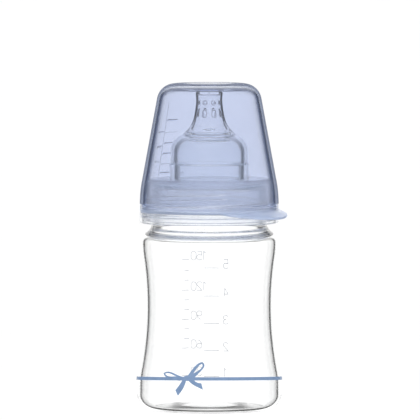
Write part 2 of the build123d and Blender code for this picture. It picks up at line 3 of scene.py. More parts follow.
import bpy
import numpy as np
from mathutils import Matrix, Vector


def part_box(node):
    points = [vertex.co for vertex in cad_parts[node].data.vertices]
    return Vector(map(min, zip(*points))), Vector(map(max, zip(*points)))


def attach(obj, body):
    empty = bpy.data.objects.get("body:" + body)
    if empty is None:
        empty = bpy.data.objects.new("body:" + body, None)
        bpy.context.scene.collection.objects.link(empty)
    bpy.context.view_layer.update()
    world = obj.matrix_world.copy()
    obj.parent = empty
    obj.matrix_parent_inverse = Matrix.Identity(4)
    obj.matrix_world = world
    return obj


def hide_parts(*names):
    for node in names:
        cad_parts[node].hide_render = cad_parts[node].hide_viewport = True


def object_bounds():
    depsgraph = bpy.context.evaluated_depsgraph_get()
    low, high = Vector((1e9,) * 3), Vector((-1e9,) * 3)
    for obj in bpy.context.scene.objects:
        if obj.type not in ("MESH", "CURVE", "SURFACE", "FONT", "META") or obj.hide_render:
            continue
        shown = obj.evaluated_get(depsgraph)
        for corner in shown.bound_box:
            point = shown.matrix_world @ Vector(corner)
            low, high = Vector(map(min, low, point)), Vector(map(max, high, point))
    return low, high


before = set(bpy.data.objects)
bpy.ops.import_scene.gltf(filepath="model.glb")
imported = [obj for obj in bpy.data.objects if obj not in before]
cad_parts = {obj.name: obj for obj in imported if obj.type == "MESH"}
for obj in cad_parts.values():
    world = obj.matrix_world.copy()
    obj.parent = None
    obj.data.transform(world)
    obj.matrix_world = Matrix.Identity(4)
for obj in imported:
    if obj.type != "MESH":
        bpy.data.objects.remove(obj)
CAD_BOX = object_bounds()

# The four clear pieces are turned shapes. Each is drawn in millimetres as an outline of
# (radius, height) that runs anticlockwise, and is fitted to the box of its CAD piece.
# A heading is an angle in degrees from the front, -Y, growing towards +X.

# ------------------------------------------------------------ dimensions

# Glass body.
BASE_R = 32.75
BASE_CORNER_R = 8.0
BASE_STAND_R = 21.0
BASE_PUNT_H = 1.2
WALL_START_Z = 10.7
BELLY_ARC_R = 40.0
WAIST_R = 29.25
WAIST_Z = 47.0
CHEST_ARC_R = 45.0
SHOULDER_R = 31.4
SHOULDER_Z = 75.4
SHOULDER_ARC_R = 5.0
GLASS_WALL = 2.3
FLOOR_CENTRE_Z = 5.4
FLOOR_CORNER_R = 5.7
FLOOR_CORNER_Z = 7.4
NECK_R = 25.8
NECK_FOOT_ARC_R = 6.0
NECK_BORE_R = 22.8
NECK_BORE_FOOT_R = 2.5
RIM_Z = 100.4
RIM_ROUND_R = 1.2

# Right-handed screw thread between the neck and the ring; its ends fade over an angle.
THREAD_PITCH = 5.0
THREAD_DEPTH = 1.0
THREAD_PLAY = 0.3
THREAD_SPAN = 450.0
THREAD_START = 290.0
THREAD_FADE = 14.0
THREAD_HALF_CREST = 0.55
THREAD_HALF_ROOT = 1.2
NECK_THREAD_Z = 91.0
RING_THREAD_Z = 89.2

# Screw ring.
RING_R = 28.7
RING_BORE_R = NECK_R + THREAD_DEPTH + THREAD_PLAY
RING_FLANGE_R = 31.3
RING_BOTTOM_Z = 84.4
RING_BORE_FOOT_Z = 85.2
RING_LEDGE_Z = 89.3
RING_TOP_Z = 104.3
RING_TOP_T = 1.9
RING_SKIRT_T = 1.4
RING_WEB_T = 1.6
RING_OPENING_R = 17.7
RING_TOP_ROUND_R = 2.3
RING_EDGE_ROUND_R = 0.5

# Teat. The ring's top wall sits in a groove between the flange and the bead. The bellows are
# a ledge over a thin-walled pocket at the nipple's foot.
TEAT_CLEARANCE = 0.05
TEAT_FLANGE_R = 25.3
TEAT_FLANGE_BOTTOM_Z = RIM_Z + TEAT_CLEARANCE
TEAT_FLANGE_TOP_Z = RING_TOP_Z - RING_TOP_T - TEAT_CLEARANCE
TEAT_PLUG_R = 22.55
TEAT_PLUG_BORE_R = 20.6
TEAT_PLUG_Z = 98.9
TEAT_GROOVE_R = 17.45
TEAT_BEAD_R = 17.95
TEAT_BEAD_Z = RING_TOP_Z + TEAT_CLEARANCE
TEAT_BEAD_TOP_Z = 110.7
TEAT_BEAD_SLOPE = 0.4
TEAT_WALL_R = 17.4
TEAT_DOME_Z = 117.2
TEAT_FOOT_BORE_R = 13.8
TEAT_FOOT_Z = 103.55
TEAT_BORE_R = 14.5
TEAT_BORE_DOME_Z = 116.2
TEAT_BELLOWS_R = 9.3
TEAT_BELLOWS_TOP_Z = 124.6
TEAT_BELLOWS_FOOT_Z = 122.1
NIPPLE_R = 6.0
NIPPLE_TOP_Z = 144.9
NIPPLE_ROUND_R = 1.3
NIPPLE_TIP_T = 1.9
NIPPLE_BORE_R = 5.0
NIPPLE_BORE_ROUND_R = 0.9
NIPPLE_BORE_FOOT = (8.2, 125.5)
FEED_HOLE_R = 0.25
# The teat's roundings, in the order of its outline's corners.
TEAT_PLUG_ROUNDS = [0, 0.4, 0.3, 0.4, 0.4, 0.2, 0.2, 0.2, 0.25, 0.25, 0]
TEAT_TIP_ROUNDS = [0, 0.1, 0.1, 0]
TEAT_BELLOWS_ROUNDS = [0, 0.3, 0]
TEAT_FOOT_ROUNDS = [0, 0.4, 0.4, 0.6, 0.8, 0.4, 0]

# Oval studs inside the nipple: a height and half a length for each row. A stud slopes down
# between two shares of its half size, and stands on the bore's wall within these limits.
STUD_COUNT = 8
STUD_HALF_W = 1.05
STUD_DEPTH = 0.5
STUD_ROWS = [(138.4, 1.1), (133.2, 2.3)]
STUD_CROWN, STUD_EDGE = 0.72, 1.05
STUD_WALL_R, STUD_WALL_FROM_Z, STUD_WALL_TO_Z = 5.7, 130.0, 142.05

# Cap, standing on the ring's ledge.
CAP_BOTTOM_R = 31.3
CAP_BOTTOM_Z = 89.4
CAP_BEND_R = 30.4
CAP_BEND_Z = 102.6
CAP_SHOULDER_R = 23.47
CAP_SHOULDER_Z = 140.4
CAP_CORNER_R = 8.0
CAP_ROOF_R = 15.6
CAP_ROOF_Z = 147.0
CAP_TOP_Z = 147.6
CAP_WALL = 1.4
CAP_BEAD_TOP = (29.88, 92.8)
CAP_BEAD_FOOT = (29.9, 90.4)
CAP_BEAD_ARC_R = 1.21
CAP_BEAD_GAP = 0.3
CAP_BOSS_R = 6.6
CAP_BOSS_BORE_R = 5.2
CAP_BOSS_Z = 145.1
CAP_BOSS_ROUND_R = 0.25
CAP_BOSS_GAP = 0.2

# Thumb tab on the cap's rim: the edge of a disc that is off the axis and tilted. Its flare
# runs in to the wall, and its underside drops between two radii, clear of the ring's ledge.
TAB_HEADING = 58.0
TAB_DISC_R = 25.4
TAB_OFFSET = 11.8
TAB_TIP_Z = 87.1
TAB_T = 1.2
TAB_BLEND = 0.4
TAB_FLARE_IN = 6.1
TAB_FLARE_H = 3.6
TAB_FLARE_INNER_R = 30.9
TAB_FLARE_LEAST_R = 31.1
TAB_UNDER_FROM_R, TAB_UNDER_TO_R = 31.5, 31.8
TAB_CROSS = (CAP_BOTTOM_R**2 - TAB_DISC_R**2 + TAB_OFFSET**2) / (2 * TAB_OFFSET)
TAB_SLOPE = (CAP_BOTTOM_Z + TAB_T / 2 - TAB_TIP_Z) / (TAB_OFFSET + TAB_DISC_R - TAB_CROSS)
TAB_COS = math.cos(math.atan(TAB_SLOPE))

# Raised measuring lines on the cap's wall, which leans in, so they stand out and a little up.
SCALE_HEADING = -127.0
SCALE_WALL_R = 27.2
SCALE_FROM_Z, SCALE_TO_Z = 104.8, 138.0
SCALE_NEAR = 30.0
SCALE_GAP = 1.0
SCALE_LINE_HALF_W = 0.2
SCALE_RAMP, SCALE_END_RAMP = 0.07, 0.3
SCALE_H = 0.15
SCALE_OUT, SCALE_UP = SCALE_H * 0.984, SCALE_H * 0.18
ML_LINES_Z = [105.7, 109.8, 114.4, 119.1, 124.1, 129.6]
ML_LINE_L = 6.6
OZ_LINES_Z = [111.3, 118.0, 124.6]
OZ_LINE_L = 4.4

# How finely the meshes are cut. The cap has more columns round its measuring lines.
COLUMNS = 256
CORNER_STEP = 0.15
ON_WALL = 1e-3
FINE_FROM, FINE_TO, FINE_STEP, FINE_MARGIN = -17.0, 12.5, 0.5, 0.6
LEAST_TURN, LEAST_RISE = 0.2, 0.05
UNDER_ROWS, EDGE_ROWS, FLARE_ROWS, SMOOTH_PASSES = 24, 4, 34, 5
FLARE_POINTS, FLARE_PACKING, SIDE_POINTS = 60, 0.7, 40
FLARE_TOP_Z, FLARE_GAP = 96.0, 0.15

# How readily painted shade darkens a wall towards its outline: 0 plainly, -1 never, more above 0.
# The studs' slopes get painted dark rings; the nipple's foot and the cap's roof get less of it.
NO_PAINTED_SHADE = -1.0
STUD_PAINTED_SHADE, NIPPLE_FOOT_PAINTED_SHADE, ROOF_PAINTED_SHADE = 0.5, -0.3, -0.25
NIPPLE_MARKED_FROM_Z, NIPPLE_FOOT_Z, NIPPLE_NECK_Z = 125.0, 127.0, 133.0
NIPPLE_MARKED_TIP_ROWS = 6
CAP_MARKED_FROM_Z, ROOF_MARKED_FROM_Z, ROOF_MARK_R = 93.0, 145.0, 9.0


# ------------------------------------------------------------ outlines


def line(start, end, step):
    """Points along a straight line, at most step apart."""
    count = max(1, math.ceil(math.dist(start, end) / step))
    return np.linspace(start, end, count + 1)


def bend(start, end, radius, step):
    """Points along an arc, in four steps or more.

    Its centre is on the left of the way for a radius above zero.
    """
    start, end = np.array(start, float), np.array(end, float)
    half = (end - start) / 2
    across = np.array([-half[1], half[0]]) / np.hypot(*half)
    rise = math.sqrt(max(radius**2 - half @ half, 0.0))
    centre = start + half + across * math.copysign(rise, radius)
    first = math.atan2(*(start - centre)[::-1])
    turn = math.copysign(2 * math.asin(min(1.0, np.hypot(*half) / abs(radius))), radius)
    count = max(4, math.ceil(abs(radius * turn) / step))
    angles = first + turn * np.linspace(0, 1, count + 1)
    return centre + abs(radius) * np.column_stack([np.cos(angles), np.sin(angles)])


def curve(points, first, last, step):
    """Points along a smooth curve through the given points, with its end directions."""
    points = np.array(points, float)
    gaps = np.hypot(*np.diff(points, axis=0).T)
    slopes = np.diff(points, axis=0) / gaps[:, None]
    count = len(points)
    system, wanted = np.eye(count), np.zeros((count, 2))
    wanted[0] = np.array(first, float) / np.hypot(*first)
    wanted[-1] = np.array(last, float) / np.hypot(*last)
    for i in range(1, count - 1):
        system[i, i - 1 : i + 2] = gaps[i], 2 * (gaps[i] + gaps[i - 1]), gaps[i - 1]
        wanted[i] = 3 * (gaps[i] * slopes[i - 1] + gaps[i - 1] * slopes[i])
    speeds = np.linalg.solve(system, wanted)
    made = [points[:1]]
    for i, gap in enumerate(gaps):
        t = np.linspace(0, 1, max(2, math.ceil(gap / step)) + 1)[1:, None]
        made.append(
            points[i] * (2 * t**3 - 3 * t**2 + 1)
            + points[i + 1] * (3 * t**2 - 2 * t**3)
            + gap * speeds[i] * (t**3 - 2 * t**2 + t)
            + gap * speeds[i + 1] * (t**3 - t**2)
        )
    return np.vstack(made)


def joined(parts):
    """One outline from parts that follow each other, without doubled points."""
    points = np.vstack(parts)
    apart = np.hypot(*np.diff(points, axis=0).T) > 1e-4
    return points[np.concatenate([[True], apart])]


def rounded(corners, radii, step, closed=False):
    """Points along straight lines through the corners, each rounded by its radius above 0."""
    corners = [np.array(c, float) for c in corners]
    count = len(corners)
    parts = []
    for i, corner in enumerate(corners):
        if not radii[i]:
            parts.append([corner])
            continue
        back, ahead = corners[i - 1] - corner, corners[(i + 1) % count] - corner
        back, ahead = back / np.hypot(*back), ahead / np.hypot(*ahead)
        half = math.acos(np.clip(back @ ahead, -1, 1)) / 2
        cut = radii[i] / math.tan(half)
        side = -np.sign(back[0] * ahead[1] - back[1] * ahead[0])
        start, end = corner + back * cut, corner + ahead * cut
        parts.append(bend(start, end, side * radii[i], CORNER_STEP))
    made = []
    for i, part in enumerate(parts):
        made.append(np.array(part))
        if closed or i < count - 1:
            made.append(line(part[-1], parts[(i + 1) % count][0], step))
    return joined(made)[:-1] if closed else joined(made)


def smooth(low, high, value):
    """0 below low, 1 above high and an even curve between."""
    t = np.clip((value - low) / (high - low), 0, 1)
    return t * t * (3 - 2 * t)


# ------------------------------------------------------------ turned meshes


def even_headings():
    return np.arange(COLUMNS) * 360.0 / COLUMNS


def lathe(name, outline, headings, has_poles, shape):
    """A closed mesh turned from an outline, which starts and ends on the axis if it has poles.

    shape(r, z, headings) moves the points of each heading and marks how much painted shade darkens
    them.
    """
    r = np.repeat(outline[:, :1], len(headings), 1)
    z = np.repeat(outline[:, 1:], len(headings), 1)
    r, z, marks = shape(r, z, headings[None, :])
    angles = np.radians(headings)[None, :]
    grid = np.stack([r * np.sin(angles), -r * np.cos(angles), z], 2)
    rows, columns = r.shape
    here = np.arange(rows * columns).reshape(rows, columns)
    ahead = np.roll(here, -1, 1)
    if has_poles:
        inner, poles = grid[1:-1].reshape(-1, 3), grid[[0, -1], 0]
        here, ahead = here[1:-1] - columns, ahead[1:-1] - columns
        first, last = len(inner), len(inner) + 1
        vertices = np.vstack([inner, poles])
        marks = np.concatenate([marks[1:-1].ravel(), marks[[0, -1], 0]])
        fans = [[first, b, a] for a, b in zip(here[0], ahead[0])]
        fans += [[last, a, b] for a, b in zip(here[-1], ahead[-1])]
    else:
        vertices, fans = grid.reshape(-1, 3), []
        here, ahead = np.vstack([here, here[:1]]), np.vstack([ahead, ahead[:1]])
    quads = np.stack([here[:-1], ahead[:-1], ahead[1:], here[1:]], 2).reshape(-1, 4)
    mesh = bpy.data.meshes.new(name)
    mesh.from_pydata(vertices.tolist(), [], quads.tolist() + fans)
    mesh.polygons.foreach_set("use_smooth", [True] * len(mesh.polygons))
    # The marks are kept for the finishes, which paint shade by them.
    mesh.attributes.new("painted_outline", "FLOAT", "POINT").data.foreach_set("value", marks.ravel())
    mesh.update()
    made = bpy.data.objects.new(name, mesh)
    bpy.context.scene.collection.objects.link(made)
    return made


def stand_for(made, cad_node, body, finish):
    """Fits a turned piece to its CAD piece's box, gives it its finish and lets it ride."""
    low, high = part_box(cad_node)
    points = np.zeros(len(made.data.vertices) * 3)
    made.data.vertices.foreach_get("co", points)
    points = points.reshape(-1, 3)
    mesh_low, mesh_high = points.min(0), points.max(0)
    points[:, :2] *= low.x / mesh_low[0]
    scale = (high.z - low.z) / (mesh_high[2] - mesh_low[2])
    points[:, 2] = low.z + (points[:, 2] - mesh_low[2]) * scale
    made.data.vertices.foreach_set("co", points.ravel())
    made.data.update()
    made.data.materials.append(finish)
    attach(made, body)
    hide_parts(cad_node)


def thread_height(z, headings, start_z):
    """How far the screw thread stands out of its wall at each height and heading."""
    height = np.zeros(np.broadcast(z, headings).shape)
    for turn in range(math.ceil(THREAD_SPAN / 360.0)):
        along = (headings - THREAD_START) % 360.0 + 360.0 * turn
        off = np.abs(z - start_z - THREAD_PITCH * along / 360.0)
        ends = smooth(0, THREAD_FADE, along) * smooth(0, THREAD_FADE, THREAD_SPAN - along)
        ridge = 1 - smooth(THREAD_HALF_CREST, THREAD_HALF_ROOT, off)
        height = np.maximum(height, ends * ridge)
    return THREAD_DEPTH * height


# ------------------------------------------------------------ glass body


def waist_arcs(shift, edge_r, edge_z, edge_arc_r):
    """Where a convex arc at an edge meets the waist's concave one, and the concave radius."""
    span_r, span_z = edge_r - WAIST_R, WAIST_Z - edge_z
    apart = (span_r**2 + span_z**2) / (2 * span_r)
    reach = (edge_arc_r + shift) / apart
    meet = (edge_r - edge_arc_r + reach * (apart - span_r), edge_z + reach * span_z)
    return meet, apart - edge_arc_r - shift


def glass_wall(shift):
    """The wall from belly to shoulder, moved out by shift."""
    low, low_r = waist_arcs(shift, BASE_R, WALL_START_Z, BELLY_ARC_R)
    high, high_r = waist_arcs(shift, SHOULDER_R, SHOULDER_Z, CHEST_ARC_R)
    waist = (WAIST_R + shift, WAIST_Z)
    return joined(
        [
            bend((BASE_R + shift, WALL_START_Z), low, BELLY_ARC_R + shift, 1.2),
            bend(low, waist, -low_r, 1.2),
            bend(waist, high, -high_r, 1.2),
            bend(high, (SHOULDER_R + shift, SHOULDER_Z), CHEST_ARC_R + shift, 1.2),
        ]
    )


def glass_outside():
    """From the axis, over the punt and the base's corner, up to the rim."""
    shoulder_x, foot_x = SHOULDER_R - SHOULDER_ARC_R, NECK_R + NECK_FOOT_ARC_R
    apart = SHOULDER_ARC_R + NECK_FOOT_ARC_R
    foot_rise = math.sqrt(apart**2 - (foot_x - shoulder_x) ** 2)
    share = SHOULDER_ARC_R / apart
    meet = (shoulder_x + share * (foot_x - shoulder_x), SHOULDER_Z + share * foot_rise)
    foot = (NECK_R, SHOULDER_Z + foot_rise)
    stand_r = BASE_R - BASE_CORNER_R
    punt_arc_r = (BASE_STAND_R**2 + BASE_PUNT_H**2) / (2 * BASE_PUNT_H)
    under_rim, rim = (NECK_R, RIM_Z - RIM_ROUND_R), (NECK_R - RIM_ROUND_R, RIM_Z)
    return [
        bend((0, BASE_PUNT_H), (BASE_STAND_R, 0), -punt_arc_r, 2.0),
        line((BASE_STAND_R, 0), (stand_r, 0), 0.8),
        bend((stand_r, 0), (BASE_R, BASE_CORNER_R), BASE_CORNER_R, 0.5),
        line((BASE_R, BASE_CORNER_R), (BASE_R, WALL_START_Z), 1.0),
        glass_wall(0),
        bend((SHOULDER_R, SHOULDER_Z), meet, SHOULDER_ARC_R, 0.3),
        bend(meet, foot, -NECK_FOOT_ARC_R, 0.3),
        line(foot, under_rim, 0.25),
        bend(under_rim, rim, RIM_ROUND_R, 0.2),
    ]


def glass_inside():
    """From the rim down the bore and the wall, and over the domed floor to the axis."""
    inner_r, shoulder_x = BASE_R - GLASS_WALL, SHOULDER_R - SHOULDER_ARC_R
    ceiling_r = SHOULDER_ARC_R - GLASS_WALL
    ceiling_z = SHOULDER_Z + SHOULDER_ARC_R - GLASS_WALL
    rim, under_rim = (NECK_BORE_R + RIM_ROUND_R, RIM_Z), (NECK_BORE_R, RIM_Z - RIM_ROUND_R)
    bore_foot = (NECK_BORE_R, ceiling_z + NECK_BORE_FOOT_R)
    ceiling = (NECK_BORE_R + NECK_BORE_FOOT_R, ceiling_z)
    valley_x, rise = inner_r - FLOOR_CORNER_R, FLOOR_CORNER_Z - FLOOR_CENTRE_Z
    dome_r = (valley_x**2 + rise**2 - FLOOR_CORNER_R**2) / (2 * (FLOOR_CORNER_R - rise))
    share = FLOOR_CORNER_R / (dome_r + FLOOR_CORNER_R)
    floor_foot = (valley_x * (1 - share), FLOOR_CORNER_Z - share * (dome_r + rise))
    return [
        line((NECK_R - RIM_ROUND_R, RIM_Z), rim, 0.3),
        bend(rim, under_rim, RIM_ROUND_R, 0.2),
        line(under_rim, bore_foot, 1.2),
        bend(bore_foot, ceiling, -NECK_BORE_FOOT_R, 0.3),
        line(ceiling, (shoulder_x, ceiling_z), 0.4),
        bend((shoulder_x, ceiling_z), (shoulder_x + ceiling_r, SHOULDER_Z), -ceiling_r, 0.3),
        glass_wall(-GLASS_WALL)[::-1],
        line((inner_r, WALL_START_Z), (inner_r, FLOOR_CORNER_Z), 0.8),
        bend((inner_r, FLOOR_CORNER_Z), floor_foot, -FLOOR_CORNER_R, 0.4),
        bend(floor_foot, (0, FLOOR_CENTRE_Z), dome_r, 1.6),
    ]


def neck_threaded(r, z, headings):
    on_neck = np.abs(r - NECK_R) < ON_WALL
    inside = (np.arange(len(r)) > np.argmax(z[:, 0]))[:, None]
    # Painted shade along the outline of the outer wall up to the shoulder; none inside or on the neck.
    marks = np.where(inside | (z > SHOULDER_Z + SHOULDER_ARC_R), NO_PAINTED_SHADE, 0.0)
    return r + on_neck * thread_height(z, headings, NECK_THREAD_Z), z, marks


def make_glass():
    outline = joined(glass_outside() + glass_inside())
    return lathe("bottle_glass", outline, even_headings(), True, neck_threaded)


# ------------------------------------------------------------ screw ring


def ring_outline():
    under_top_z, web_z = RING_TOP_Z - RING_TOP_T, RING_LEDGE_Z - RING_WEB_T
    skirt_bore_r = RING_FLANGE_R - RING_SKIRT_T
    corners = [
        (RING_R, RING_LEDGE_Z),
        (RING_R, RING_TOP_Z),
        (RING_OPENING_R, RING_TOP_Z),
        (RING_OPENING_R, under_top_z),
        (RING_BORE_R, under_top_z),
        (RING_BORE_R, RING_BORE_FOOT_Z),
        (RING_R, RING_BORE_FOOT_Z),
        (RING_R, web_z),
        (skirt_bore_r, web_z),
        (skirt_bore_r, RING_BOTTOM_Z),
        (RING_FLANGE_R, RING_BOTTOM_Z),
        (RING_FLANGE_R, RING_LEDGE_Z),
    ]
    radii = [RING_EDGE_ROUND_R] * len(corners)
    radii[corners.index((RING_R, RING_TOP_Z))] = RING_TOP_ROUND_R
    return rounded(corners, radii, 0.25, closed=True)


def ring_threaded(r, z, headings):
    on_bore = np.abs(r - RING_BORE_R) < ON_WALL
    height = on_bore * thread_height(z, headings, RING_THREAD_Z)
    return r - height, z, np.full_like(r, NO_PAINTED_SHADE)


def make_ring():
    return lathe("ring_clear", ring_outline(), even_headings(), False, ring_threaded)


# ------------------------------------------------------------ teat


def teat_outside():
    """From the plug, over flange, groove and bead, up the dome and the nipple to its tip."""
    top_round = (NIPPLE_R, NIPPLE_TOP_Z - NIPPLE_ROUND_R)
    plug = [
        (TEAT_PLUG_BORE_R, TEAT_PLUG_Z),
        (TEAT_PLUG_R, TEAT_PLUG_Z),
        (TEAT_PLUG_R, TEAT_FLANGE_BOTTOM_Z),
        (TEAT_FLANGE_R, TEAT_FLANGE_BOTTOM_Z),
        (TEAT_FLANGE_R, TEAT_FLANGE_TOP_Z),
        (TEAT_GROOVE_R, TEAT_FLANGE_TOP_Z),
        (TEAT_GROOVE_R, TEAT_BEAD_Z),
        (TEAT_BEAD_R, TEAT_BEAD_Z),
        (TEAT_BEAD_R, TEAT_BEAD_TOP_Z),
        (TEAT_WALL_R, TEAT_BEAD_TOP_Z + TEAT_BEAD_SLOPE),
        (TEAT_WALL_R, TEAT_DOME_Z),
    ]
    dome = [
        plug[-1],
        (14.4, 122.75),
        (11.9, 124.3),
        (8.2, 128.2),
        (6.35, 134.6),
        (5.85, 140.0),
        top_round,
    ]
    return [
        rounded(plug, TEAT_PLUG_ROUNDS, 0.4),
        curve(dome, (0, 1), (0, 1), 0.4),
        bend(top_round, (NIPPLE_R - NIPPLE_ROUND_R, NIPPLE_TOP_Z), NIPPLE_ROUND_R, 0.15),
    ]


def teat_inside():
    """From the tip, through the feed hole, down the bore and the bellows to the plug."""
    milk_top_z = NIPPLE_TOP_Z - NIPPLE_TIP_T
    milk_round = (NIPPLE_BORE_R - NIPPLE_BORE_ROUND_R, milk_top_z)
    under_round = (NIPPLE_BORE_R, milk_top_z - NIPPLE_BORE_ROUND_R)
    tip = [
        (NIPPLE_R - NIPPLE_ROUND_R, NIPPLE_TOP_Z),
        (FEED_HOLE_R, NIPPLE_TOP_Z),
        (FEED_HOLE_R, milk_top_z),
        milk_round,
    ]
    bore = [under_round, (5.45, 133.2), (6.4, 129.2), NIPPLE_BORE_FOOT]
    bellows = [
        NIPPLE_BORE_FOOT,
        (TEAT_BELLOWS_R, TEAT_BELLOWS_TOP_Z),
        (TEAT_BELLOWS_R, TEAT_BELLOWS_FOOT_Z),
    ]
    pocket = [bellows[-1], (13.4, 119.4), (TEAT_BORE_R, TEAT_BORE_DOME_Z)]
    foot = [
        pocket[-1],
        (TEAT_BORE_R, TEAT_BEAD_TOP_Z + TEAT_BEAD_SLOPE),
        (TEAT_FOOT_BORE_R, TEAT_BEAD_TOP_Z - TEAT_BEAD_SLOPE),
        (TEAT_FOOT_BORE_R, TEAT_FOOT_Z),
        (18.0, 100.95),
        (TEAT_PLUG_BORE_R, TEAT_FLANGE_BOTTOM_Z - 0.2),
        (TEAT_PLUG_BORE_R, TEAT_PLUG_Z),
    ]
    return [
        rounded(tip, TEAT_TIP_ROUNDS, 0.5),
        bend(milk_round, under_round, -NIPPLE_BORE_ROUND_R, 0.15),
        curve(bore, (0, -1), (1, -1), 0.16),
        rounded(bellows, TEAT_BELLOWS_ROUNDS, 0.3),
        curve(pocket, (1, -0.25), (0, -1), 0.4),
        rounded(foot, TEAT_FOOT_ROUNDS, 0.4),
    ]


def nipple_studded(r, z, headings):
    """Two rows of oval studs stand out of the nipple's inner wall."""
    on_bore = (z < STUD_WALL_TO_Z) & (z > STUD_WALL_FROM_Z) & (r < STUD_WALL_R)
    pitch = 360.0 / STUD_COUNT
    across = np.radians((headings % pitch) - pitch / 2) * r
    height = np.zeros_like(r)
    for stud_z, half_length in STUD_ROWS:
        out = np.hypot(across / STUD_HALF_W, (z - stud_z) / half_length)
        height = np.maximum(height, 1 - smooth(STUD_CROWN, STUD_EDGE, out))
    # Painted shade: dark rings on the studs' slopes, and the nipple's outer wall darkened at its
    # outline, less at its foot.
    last_row = np.argmax(z[:, 0]) + NIPPLE_MARKED_TIP_ROWS
    outside = (np.arange(len(r)) <= last_row)[:, None] & (z > NIPPLE_MARKED_FROM_Z)
    slope = on_bore & (height > 0.02) & (height < 0.98)
    foot = NIPPLE_FOOT_PAINTED_SHADE * (1 - smooth(NIPPLE_FOOT_Z, NIPPLE_NECK_Z, z))
    marks = np.where(slope, STUD_PAINTED_SHADE, np.where(outside, foot, NO_PAINTED_SHADE))
    return r - on_bore * STUD_DEPTH * height, z, marks


def make_teat():
    outline = joined(teat_outside() + teat_inside())[:-1]
    return lathe("teat_silicone", outline, even_headings(), False, nipple_studded)


# ------------------------------------------------------------ cap


def cap_side(shift):
    """Skirt, wall, corner and roof, from the rim up to the axis, moved in by shift."""
    bottom, bending = (CAP_BOTTOM_R - shift, CAP_BOTTOM_Z), (CAP_BEND_R - shift, CAP_BEND_Z)
    shoulder, roof = (CAP_SHOULDER_R - shift, CAP_SHOULDER_Z), (CAP_ROOF_R, CAP_ROOF_Z - shift)
    taper = (CAP_SHOULDER_R - CAP_BEND_R, CAP_SHOULDER_Z - CAP_BEND_Z)
    corner = bend(shoulder, roof, CAP_CORNER_R - shift, 0.3)
    return (
        curve([bottom, bending], (0, 1), taper, 0.3),
        line(bending, shoulder, 1.6),
        corner,
        curve([roof, (0, CAP_TOP_Z - shift)], corner[-1] - corner[-2], (-1, 0), 0.9),
    )


def cap_inside():
    """From the axis down to the rim: roof, boss, corner, side and snap bead."""
    skirt, wall, corner, roof = [part[::-1] for part in cap_side(CAP_WALL)]
    boss_r = [CAP_BOSS_BORE_R, CAP_BOSS_R]
    inner_z, outer_z = np.interp(boss_r, roof[:, 0], roof[:, 1])
    boss = [
        (CAP_BOSS_BORE_R, inner_z),
        (CAP_BOSS_BORE_R, CAP_BOSS_Z),
        (CAP_BOSS_R, CAP_BOSS_Z),
        (CAP_BOSS_R, outer_z),
    ]
    return joined(
        [
            roof[roof[:, 0] < CAP_BOSS_BORE_R - CAP_BOSS_GAP],
            rounded(boss, [0, CAP_BOSS_ROUND_R, CAP_BOSS_ROUND_R, 0], 0.25),
            roof[roof[:, 0] > CAP_BOSS_R + CAP_BOSS_GAP],
            corner,
            wall,
            skirt[skirt[:, 1] > CAP_BEAD_TOP[1] + CAP_BEAD_GAP],
            bend(CAP_BEAD_TOP, CAP_BEAD_FOOT, CAP_BEAD_ARC_R, 0.2),
        ]
    )


def tab_edge_r(heading):
    """How far the cap's lower edge is from the axis: the tab's tilted disc or the plain rim."""
    across = math.sin(math.radians(heading - TAB_HEADING)) ** 2
    along = math.cos(math.radians(heading - TAB_HEADING))
    a = along**2 / TAB_COS**2 + across
    b = TAB_OFFSET * along / TAB_COS**2
    c = TAB_OFFSET**2 / TAB_COS**2 - TAB_DISC_R**2
    over = (b + math.sqrt(b * b - a * c)) / a - CAP_BOTTOM_R
    return CAP_BOTTOM_R + 0.5 * (over + math.hypot(over, TAB_BLEND))


def tab_flare(lip_r, along, level, wall_r):
    """The flare from the tab's lip in to the cap's wall, where it lies outside that wall."""
    if lip_r <= TAB_FLARE_LEAST_R:
        return np.zeros(0), np.zeros(0)
    share = np.linspace(0, 1, FLARE_POINTS)[1:] ** FLARE_PACKING
    r = lip_r - (lip_r - TAB_FLARE_INNER_R) * share
    off = np.hypot((r * along - TAB_OFFSET) / TAB_COS, r * math.sqrt(1 - along**2))
    z = level(r) + TAB_T / 2 + np.interp(off, TAB_FLARE[:, 0], TAB_FLARE[:, 1])
    outside = r > wall_r(z)
    return r[outside], z[outside]


